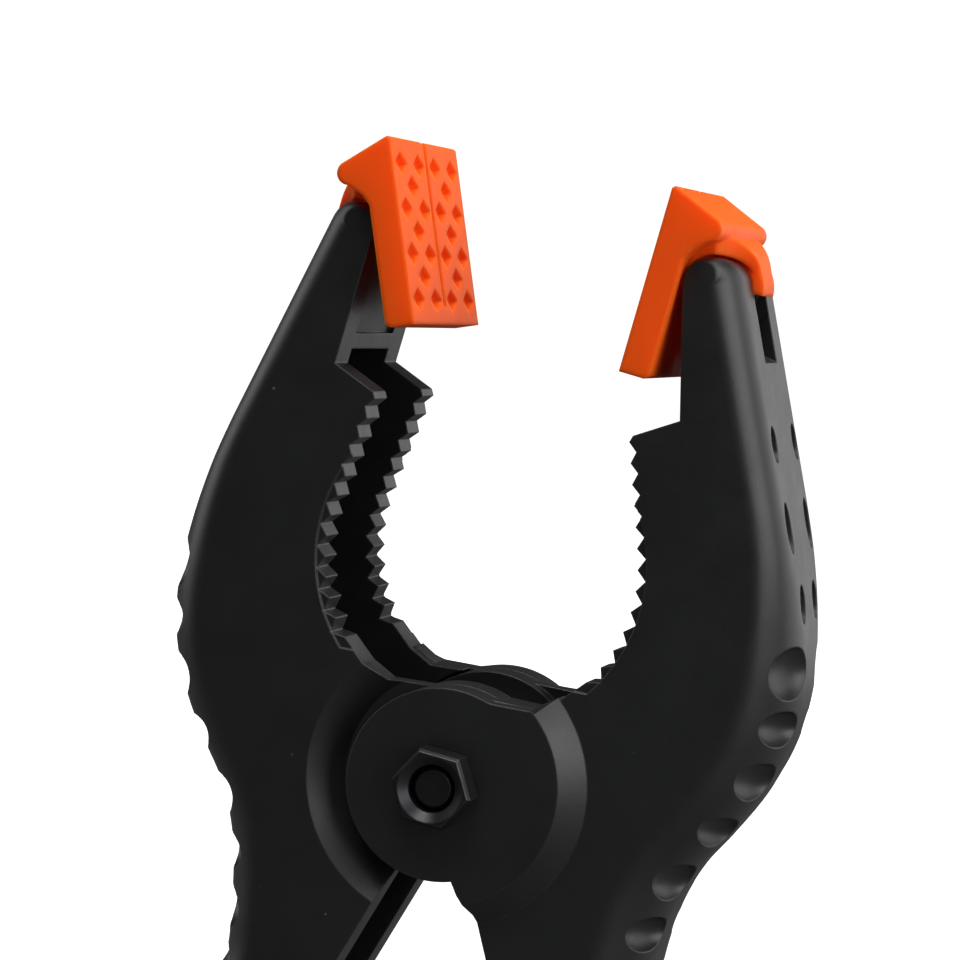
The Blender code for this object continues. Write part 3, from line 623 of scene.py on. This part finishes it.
# ---------------------------------------------------------------- pads
def pad_outline():
    """(x, z) of a right-hand pad's side view about its pivot, at no tilt."""
    top = [(-PAD_FACE, PAD_TOP - PAD_TOP_CHAMFER), (-PAD_FACE + PAD_TOP_CHAMFER, PAD_TOP)]
    foot = [(-PAD_BACK, PAD_BOTTOM + PAD_FOOT_CHAMFER), (-PAD_BACK - PAD_FOOT_CHAMFER, PAD_BOTTOM),
            (-PAD_FACE, PAD_BOTTOM)]
    return top + arc(*NOSE, *NOSE_ARC) + [*PAD_NECK] + foot


def saddle(name):
    """The part of a pad that hugs the jaw tip: wide over the top, tapering to the hook."""
    rings = []
    start, span = SADDLE_SPAN_DEG
    taper_start, taper_span = SADDLE_TAPER_DEG
    for k in range(SADDLE_STEPS + 1):
        degrees = start - span * k / SADDLE_STEPS
        angle = math.radians(degrees)
        t = min(1.0, max(0.0, (taper_start - degrees) / taper_span))
        half = SADDLE_HALF_WIDTH + (HOOK_HALF_WIDTH - SADDLE_HALF_WIDTH) * t * (2 - t)
        outer = HOOK_OUTER + (SADDLE_OUTER - HOOK_OUTER) * (1 - t)
        ring = []
        for r, y in ((PAD_BACK, -half), (outer, -half), (outer, half), (PAD_BACK, half)):
            ring.append((r * math.cos(angle), y, r * math.sin(angle)))
        rings.append(ring)
    return stack(name, rings, None, cutters)


def pockets(name):
    """Diamond pockets and the middle groove in a pad's grip face."""
    made = []
    wide, tall = POCKET_SIZE
    mouth, bottom = POCKET_TAPER
    for column, rows in POCKET_COLUMNS:
        for y in (-column, column):
            for row in rows:
                z = PAD_TOP - row
                ring = []
                for x, grow in ((-PAD_FACE - POCKET_DEPTH / 2, mouth), (-PAD_FACE + POCKET_DEPTH, bottom)):
                    ring.append([(x, y + wide * grow, z), (x, y, z + tall * grow),
                                 (x, y - wide * grow, z), (x, y, z - tall * grow)])
                made.append(stack("pocket", ring, None, cutters))
    half, depth, end = GROOVE
    groove = [(-PAD_FACE - OVERCUT, PAD_TOP + OVERCUT), (-PAD_FACE + depth, PAD_TOP + OVERCUT),
              (-PAD_FACE + depth, PAD_BOTTOM + end), (-PAD_FACE - OVERCUT, PAD_BOTTOM + end)]
    made.append(prism("groove", groove, -half, half, None, cutters))
    return joined(name, made)


def pad(name, made_of, tilt_deg, side):
    """A swivelling pad; side is 1 on the right lever and -1 on the left one."""
    body = prism(name, pad_outline(), -PAD_HALF_WIDTH, PAD_HALF_WIDTH, made_of)
    root = arc(0.0, 0.0, HOOK_OUTER + HOOK_ROOT[0], *HOOK_ROOT[1:])
    hook = root + arc(0.0, 0.0, HOOK_OUTER, *HOOK_BACK) + arc(0.0, 0.0, HOOK_INNER, *HOOK_HOLD)
    combine(body, prism(name + "_hook", hook, -HOOK_HALF_WIDTH, HOOK_HALF_WIDTH, None, cutters), "UNION")
    settle(body)
    combine(body, saddle(name + "_saddle"), "UNION")
    settle(body)
    combine(body, pockets(name + "_pockets"), "DIFFERENCE")
    settle(body)
    turn = Matrix.Rotation(math.radians(tilt_deg), 4, "Y")
    body.data.transform(turn)
    if side < 0:
        body.data.transform(Matrix.Rotation(math.pi, 4, "Z"))
    body.location = (side * TIP[0] * MM, 0.0, TIP[1] * MM)
    shade(body)
    return body


# ---------------------------------------------------------------- hardware
def hexagon(name, made_of, y_low, y_high, hole):
    """A hexagon on an ear, with corners chamfered at its free end and a bore of radius hole, if any."""
    corner = NUT_FLATS / 2 / math.cos(math.pi / 6)
    turns = [math.radians(60 * k + HEX_TURN_DEG) for k in range(6)]
    scale, depth = CORNER_CHAMFER
    levels = [(y_low, 1.0), (y_high - depth, 1.0), (y_high, scale)]
    if y_low < 0:
        levels = [(y_low, scale), (y_low + depth, 1.0), (y_high, 1.0)]
    rings = []
    for y, size in levels:
        rings.append([(corner * size * math.cos(a), y, corner * size * math.sin(a)) for a in turns])
    body = stack(name, rings, made_of)
    if hole:
        mouth, sunk = HOLE_CHAMFER
        bore = [(0.0, y_low - OVERCUT), (hole + mouth, y_low - OVERCUT), (hole + mouth, y_low),
                (hole, y_low + sunk), (hole, y_high + OVERCUT), (0.0, y_high + OVERCUT)]
        combine(body, turned(name + "_bore", bore, None, cutters, segments=24), "DIFFERENCE")
        settle(body)
    return body


def coil(name, made_of):
    """The torsion spring: a close coil on the sleeve with a leg down each handle's channel."""
    curve = bpy.data.curves.new(name, "CURVE")
    curve.dimensions = "3D"
    curve.bevel_depth = WIRE_RADIUS * MM
    curve.bevel_resolution = 5
    curve.use_fill_caps = True
    total = COIL_TURNS * 2 * math.pi
    count = int(COIL_TURNS * COIL_STEPS_PER_TURN)
    start = math.radians(COIL_START_DEG)
    points = []
    for k in range(count + 1):
        t = k / count
        angle = start + total * t
        y = -COIL_PITCH * COIL_TURNS / 2 + COIL_PITCH * COIL_TURNS * t
        points.append((COIL_RADIUS * math.cos(angle), y, COIL_RADIUS * math.sin(angle)))
    first = points[0]
    last = points[-1]
    rest = HANDLE_WIDTH - WEB[1] - WIRE_RADIUS - GAP
    foot = on_handle(LEG_REACH[0], rest)
    knee = on_handle(LEG_REACH[1], rest)
    begin = [(foot[0], first[1], foot[1]), (knee[0], first[1], knee[1])]
    end = [(-knee[0], last[1], knee[1]), (-foot[0], last[1], foot[1])]
    line = begin + points + end
    spline = curve.splines.new("POLY")
    spline.points.add(len(line) - 1)
    for point, (x, y, z) in zip(spline.points, line):
        point.co = (x * MM, y * MM, z * MM, 1.0)
    temporary = bpy.data.objects.new(name + "_line", curve)
    cutters.objects.link(temporary)
    bpy.context.view_layer.update()
    graph = bpy.context.evaluated_depsgraph_get()
    mesh = bpy.data.meshes.new_from_object(temporary.evaluated_get(graph))
    bpy.data.objects.remove(temporary)
    work = bmesh.new()
    work.from_mesh(mesh)
    bmesh.ops.remove_doubles(work, verts=work.verts, dist=WELD)
    bmesh.ops.recalc_face_normals(work, faces=work.faces)
    work.to_mesh(mesh)
    work.free()
    mesh.materials.clear()
    mesh.materials.append(made_of)
    obj = bpy.data.objects.new(name, mesh)
    parts.objects.link(obj)
    shade(obj, WIRE_SHADE_DEG)
    return obj


# ---------------------------------------------------------------- materials
def noise(nodes, links, place, scale, detail=4.0, roughness=0.6):
    """A noise texture in object space; scale counts features per metre."""
    made = nodes.new("ShaderNodeTexNoise")
    made.inputs["Scale"].default_value = scale
    made.inputs["Detail"].default_value = detail
    made.inputs["Roughness"].default_value = roughness
    links.new(place.outputs["Object"], made.inputs["Vector"])
    return made


def ramp(nodes, links, source, low, high, low_colour, high_colour):
    """A two-stop colour ramp on source."""
    made = nodes.new("ShaderNodeValToRGB")
    made.color_ramp.elements[0].position = low
    made.color_ramp.elements[1].position = high
    made.color_ramp.elements[0].color = (*low_colour, 1.0)
    made.color_ramp.elements[1].color = (*high_colour, 1.0)
    links.new(source, made.inputs["Fac"])
    return made


def finish_material(name, base, variation, roughness, metallic=0.0, grain=3500.0, grain_height=0.00002,
                    edge=0.00025, edge_wear_and_highlight=0.0, specks=0.0, subsurface=0.0, shine=0.5):
    """A moulded or machined surface: mottled colour, uneven gloss, fine grain, softened edges, and edges
    lightened partly by wear and partly by a painted highlight.

    variation is the share by which the colour varies. grain counts bumps per metre. grain_height and edge,
    the rounding of edges, are metres. The edge lightening (part wear, part painted highlight), specks,
    subsurface and shine go from 0 to 1.
    """
    made = bpy.data.materials.new(name)
    made.use_nodes = True
    nodes = made.node_tree.nodes
    links = made.node_tree.links
    shader = nodes["Principled BSDF"]
    place = nodes.new("ShaderNodeTexCoord")
    broad = noise(nodes, links, place, 90.0)
    colour = ramp(nodes, links, broad.outputs["Fac"], 0.3, 0.7,
                  tuple(c * (1.0 - variation) for c in base), tuple(c * (1.0 + variation) for c in base))
    out = colour.outputs["Color"]
    # lighter edges where the rounded normal leaves the true one: partly rubbed wear, partly a painted
    # highlight on the rims
    soft = nodes.new("ShaderNodeBevel")
    soft.samples = 6
    soft.inputs["Radius"].default_value = edge
    if edge_wear_and_highlight > 0.0:
        geometry = nodes.new("ShaderNodeNewGeometry")
        apart = nodes.new("ShaderNodeVectorMath")
        apart.operation = "DOT_PRODUCT"
        links.new(soft.outputs["Normal"], apart.inputs[0])
        links.new(geometry.outputs["Normal"], apart.inputs[1])
        worn_and_highlit = nodes.new("ShaderNodeMapRange")
        worn_and_highlit.inputs["From Min"].default_value = 0.985
        worn_and_highlit.inputs["From Max"].default_value = 0.85
        worn_and_highlit.inputs["To Max"].default_value = edge_wear_and_highlight
        links.new(apart.outputs["Value"], worn_and_highlit.inputs["Value"])
        patchy = noise(nodes, links, place, 700.0)
        amount = nodes.new("ShaderNodeMath")
        amount.operation = "MULTIPLY"
        links.new(worn_and_highlit.outputs["Result"], amount.inputs[0])
        links.new(patchy.outputs["Fac"], amount.inputs[1])
        mix = nodes.new("ShaderNodeMix")
        mix.data_type = "RGBA"
        links.new(amount.outputs["Value"], mix.inputs["Factor"])
        links.new(out, mix.inputs["A"])
        mix.inputs["B"].default_value = (*tuple(min(1.0, c * 3.0 + 0.05) for c in base), 1.0)
        out = mix.outputs["Result"]
    if specks > 0.0:
        dust = nodes.new("ShaderNodeTexVoronoi")
        dust.inputs["Scale"].default_value = 420.0
        links.new(place.outputs["Object"], dust.inputs["Vector"])
        spot = nodes.new("ShaderNodeMapRange")
        spot.inputs["From Min"].default_value = 0.07
        spot.inputs["From Max"].default_value = 0.03
        spot.inputs["To Max"].default_value = specks
        links.new(dust.outputs["Distance"], spot.inputs["Value"])
        gate = noise(nodes, links, place, 160.0, 2.0)
        chosen = ramp(nodes, links, gate.outputs["Fac"], 0.6, 0.66, (0, 0, 0), (1, 1, 1))
        both = nodes.new("ShaderNodeMath")
        both.operation = "MULTIPLY"
        links.new(spot.outputs["Result"], both.inputs[0])
        links.new(chosen.outputs["Color"], both.inputs[1])
        dusty = nodes.new("ShaderNodeMix")
        dusty.data_type = "RGBA"
        links.new(both.outputs["Value"], dusty.inputs["Factor"])
        links.new(out, dusty.inputs["A"])
        dusty.inputs["B"].default_value = (0.32, 0.32, 0.3, 1.0)
        out = dusty.outputs["Result"]
    links.new(out, shader.inputs["Base Color"])
    uneven = noise(nodes, links, place, 260.0)
    gloss = nodes.new("ShaderNodeMapRange")
    gloss.inputs["To Min"].default_value = roughness - 0.07
    gloss.inputs["To Max"].default_value = roughness + 0.09
    links.new(uneven.outputs["Fac"], gloss.inputs["Value"])
    links.new(gloss.outputs["Result"], shader.inputs["Roughness"])
    shader.inputs["Metallic"].default_value = metallic
    shader.inputs["Specular IOR Level"].default_value = shine
    fine = noise(nodes, links, place, grain, 3.0)
    bump = nodes.new("ShaderNodeBump")
    bump.inputs["Strength"].default_value = 0.6
    bump.inputs["Distance"].default_value = grain_height
    links.new(fine.outputs["Fac"], bump.inputs["Height"])
    links.new(soft.outputs["Normal"], bump.inputs["Normal"])
    links.new(bump.outputs["Normal"], shader.inputs["Normal"])
    if subsurface > 0.0:
        shader.inputs["Subsurface Weight"].default_value = subsurface
        shader.inputs["Subsurface Radius"].default_value = (1.0, 0.3, 0.05)
        shader.inputs["Subsurface Scale"].default_value = 0.004
    made.diffuse_color = (*base, 1.0)
    return made


# the lighter edges of each finish are partly wear and partly painted highlight
nylon = finish_material("moulded_nylon", (0.006, 0.0064, 0.0066), 0.25, 0.42, edge_wear_and_highlight=0.7, specks=0.35)
orange = finish_material("soft_orange", (0.88, 0.095, 0.006), 0.05, 0.5, grain=2400.0,
                         grain_height=0.000012, edge=0.0006, edge_wear_and_highlight=0.05, subsurface=0.6, shine=0.08)
black_steel = finish_material("black_oxide", (0.035, 0.035, 0.038), 0.3, 0.36, metallic=0.85, grain=2600.0,
                              grain_height=0.00001, edge=0.0002, edge_wear_and_highlight=0.7)
bare_steel = finish_material("drawn_steel", (0.42, 0.42, 0.44), 0.15, 0.28, metallic=1.0, grain=5200.0,
                             grain_height=0.000008, edge=0.0001, edge_wear_and_highlight=0.3)

# ---------------------------------------------------------------- pieces
right = lever("right_lever_moulding", nylon)
left = bpy.data.objects.new("left_lever_moulding", right.data.copy())
left.data.transform(Matrix.Rotation(math.pi, 4, "Z"))
parts.objects.link(left)
right_pad = pad("right_grip_pad", orange, PAD_TILT_RIGHT_DEG, 1)
left_pad = pad("left_grip_pad", orange, PAD_TILT_LEFT_DEG, -1)

stand = EAR_PROUD + GAP
nut = hexagon("hex_nut", black_steel, -stand - NUT_HEIGHT, -stand, BOLT_RADIUS + GAP)
shade(nut)
end = -stand - NUT_HEIGHT + END_RECESS
shank = [(0.0, end), (BOLT_RADIUS - SHANK_CHAMFER, end), (BOLT_RADIUS, end + SHANK_CHAMFER),
         (BOLT_RADIUS, stand + OVERCUT), (0.0, stand + OVERCUT)]
bolt = hexagon("hex_bolt", black_steel, stand, stand + NUT_HEIGHT, 0.0)
combine(bolt, turned("shank", shank, None, cutters, segments=48), "UNION")
settle(bolt)
shade(bolt)
inside = EAR_INNER - GAP
ring = [(BOLT_HOLE_RADIUS, -inside), (SLEEVE_RADIUS, -inside),
        (SLEEVE_RADIUS, inside), (BOLT_HOLE_RADIUS, inside)]
sleeve = turned("spacer_sleeve", ring, bare_steel, segments=64)
shade(sleeve)
spring = coil("spring_coil", bare_steel)

for spare in list(cutters.objects):
    bpy.data.objects.remove(spare)

LEFT = "left_lever_body"
RIGHT = "right_lever_body"
rides = ((right, RIGHT, "right_lever"), (left, LEFT, "left_lever"),
         (right_pad, "right_pad_body", "right_pad"), (left_pad, "left_pad_body", "left_pad"),
         (nut, LEFT, "pivot_nut"), (bolt, LEFT, "pivot_bolt"), (sleeve, LEFT, "pivot_sleeve"))
for piece, body, node in rides:
    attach(piece, body)
    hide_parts(node)
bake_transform(spring)
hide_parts("torsion_spring")

# ---------------------------------------------------------------- floor, backdrop, light
FLOOR_GAP = 0.0003       # metres between the floor and the lowest point of the clamp at rest
FLOOR_RADIUS = 3.0

scene = bpy.context.scene
scene.view_settings.view_transform = "Standard"
floor_z = min(corner[2] for corner in cad_box) - FLOOR_GAP
work = bmesh.new()
bmesh.ops.create_circle(work, cap_ends=True, segments=96, radius=FLOOR_RADIUS)
floor_mesh = bpy.data.meshes.new("floor")
work.to_mesh(floor_mesh)
work.free()
floor = bpy.data.objects.new("floor", floor_mesh)
floor.location = (0.0, 0.0, floor_z)
scene.collection.objects.link(floor)
pale = bpy.data.materials.new("pale_floor")
pale.use_nodes = True
pale_shader = pale.node_tree.nodes["Principled BSDF"]
pale_shader.inputs["Roughness"].default_value = 0.7
pale_shader.inputs["Emission Color"].default_value = (1.0, 1.0, 1.0, 1.0)
# the floor brightens away from the clamp until it meets the backdrop; only the camera sees that glow
pale_nodes = pale.node_tree.nodes
pale_wires = pale.node_tree.links
spot_on_floor = pale_nodes.new("ShaderNodeTexCoord")
away = pale_nodes.new("ShaderNodeVectorMath")
away.operation = "LENGTH"
pale_wires.new(spot_on_floor.outputs["Object"], away.inputs[0])
glow = pale_nodes.new("ShaderNodeMapRange")
glow.inputs["From Min"].default_value = 0.05
glow.inputs["From Max"].default_value = 0.5
glow.inputs["To Min"].default_value = 0.3
glow.inputs["To Max"].default_value = 1.05
pale_wires.new(away.outputs["Value"], glow.inputs["Value"])
looked_at = pale_nodes.new("ShaderNodeLightPath")
shown = pale_nodes.new("ShaderNodeMath")
shown.operation = "MULTIPLY"
pale_wires.new(glow.outputs["Result"], shown.inputs[0])
pale_wires.new(looked_at.outputs["Is Camera Ray"], shown.inputs[1])
pale_wires.new(shown.outputs["Value"], pale_shader.inputs["Emission Strength"])
whiteness = pale_nodes.new("ShaderNodeMapRange")
whiteness.inputs["To Min"].default_value = 0.12
whiteness.inputs["To Max"].default_value = 0.8
pale_wires.new(looked_at.outputs["Is Camera Ray"], whiteness.inputs["Value"])
pale_wires.new(whiteness.outputs["Result"], pale_shader.inputs["Base Color"])
floor_mesh.materials.append(pale)

world = bpy.data.worlds.new("studio")
scene.world = world
world.use_nodes = True
sky = world.node_tree.nodes
wires = world.node_tree.links
seen = sky.new("ShaderNodeLightPath")
strength = sky.new("ShaderNodeMapRange")
strength.inputs["To Min"].default_value = 0.07
strength.inputs["To Max"].default_value = 1.05
wires.new(seen.outputs["Is Camera Ray"], strength.inputs["Value"])
wires.new(strength.outputs["Result"], sky["Background"].inputs["Strength"])
sky["Background"].inputs["Color"].default_value = (1.0, 1.0, 1.0, 1.0)


def soft_box(name, place, target, size, power):
    """A rectangular area light at place that faces target; size is metres and power is watts."""
    lamp = bpy.data.lights.new(name, "AREA")
    lamp.shape = "RECTANGLE"
    lamp.size = size[0]
    lamp.size_y = size[1]
    lamp.energy = power
    holder = bpy.data.objects.new(name, lamp)
    holder.location = place
    holder.rotation_euler = (Vector(target) - Vector(place)).to_track_quat("-Z", "Y").to_euler()
    scene.collection.objects.link(holder)


soft_box("key_top", (0.05, -0.05, 0.6), (0.0, 0.0, 0.0), (0.6, 0.5), 2.4)
soft_box("right_side", (0.5, -0.12, 0.3), (0.0, 0.0, 0.0), (0.4, 0.5), 2.4)
soft_box("left_side", (-0.55, 0.05, 0.2), (0.0, 0.0, 0.0), (0.4, 0.6), 1.3)
soft_box("front_fill", (-0.05, -0.35, 0.6), (0.0, 0.0, 0.02), (0.3, 0.3), 1.8)
soft_box("front_right", (0.42, -0.38, 0.15), (0.0, 0.0, 0.0), (0.25, 0.3), 0.7)
soft_box("back_panel", (0.45, 0.55, 0.15), (0.0, 0.0, 0.0), (0.8, 0.5), 1.6)

# ---------------------------------------------------------------- camera
VIEW_TURN_DEG = 14.0
VIEW_RISE_DEG = 4.49
VIEW_ROLL_DEG = -8.81
VIEW_DISTANCE = 0.3464
VIEW_SHIFT = (0.00072, 0.02863)
VIEW_LENS = 131.4

turn = math.radians(VIEW_TURN_DEG)
rise = math.radians(VIEW_RISE_DEG)
roll = math.radians(VIEW_ROLL_DEG)
back = Vector((math.sin(turn) * math.cos(rise), -math.cos(turn) * math.cos(rise), math.sin(rise)))
level = Vector((math.cos(turn), math.sin(turn), 0.0))
above = back.cross(level)
across = math.cos(roll) * level - math.sin(roll) * above
upward = math.sin(roll) * level + math.cos(roll) * above
camera_data = bpy.data.cameras.new("camera")
camera_data.lens = VIEW_LENS
camera_data.sensor_width = 36.0
camera_data.clip_start = 0.01
camera = bpy.data.objects.new("camera", camera_data)
scene.collection.objects.link(camera)
stand_point = back * VIEW_DISTANCE + across * VIEW_SHIFT[0] + upward * VIEW_SHIFT[1]
camera.matrix_world = Matrix((
    (across.x, upward.x, back.x, stand_point.x),
    (across.y, upward.y, back.y, stand_point.y),
    (across.z, upward.z, back.z, stand_point.z),
    (0.0, 0.0, 0.0, 1.0)))
scene.camera = camera

bpy.context.view_layer.update()
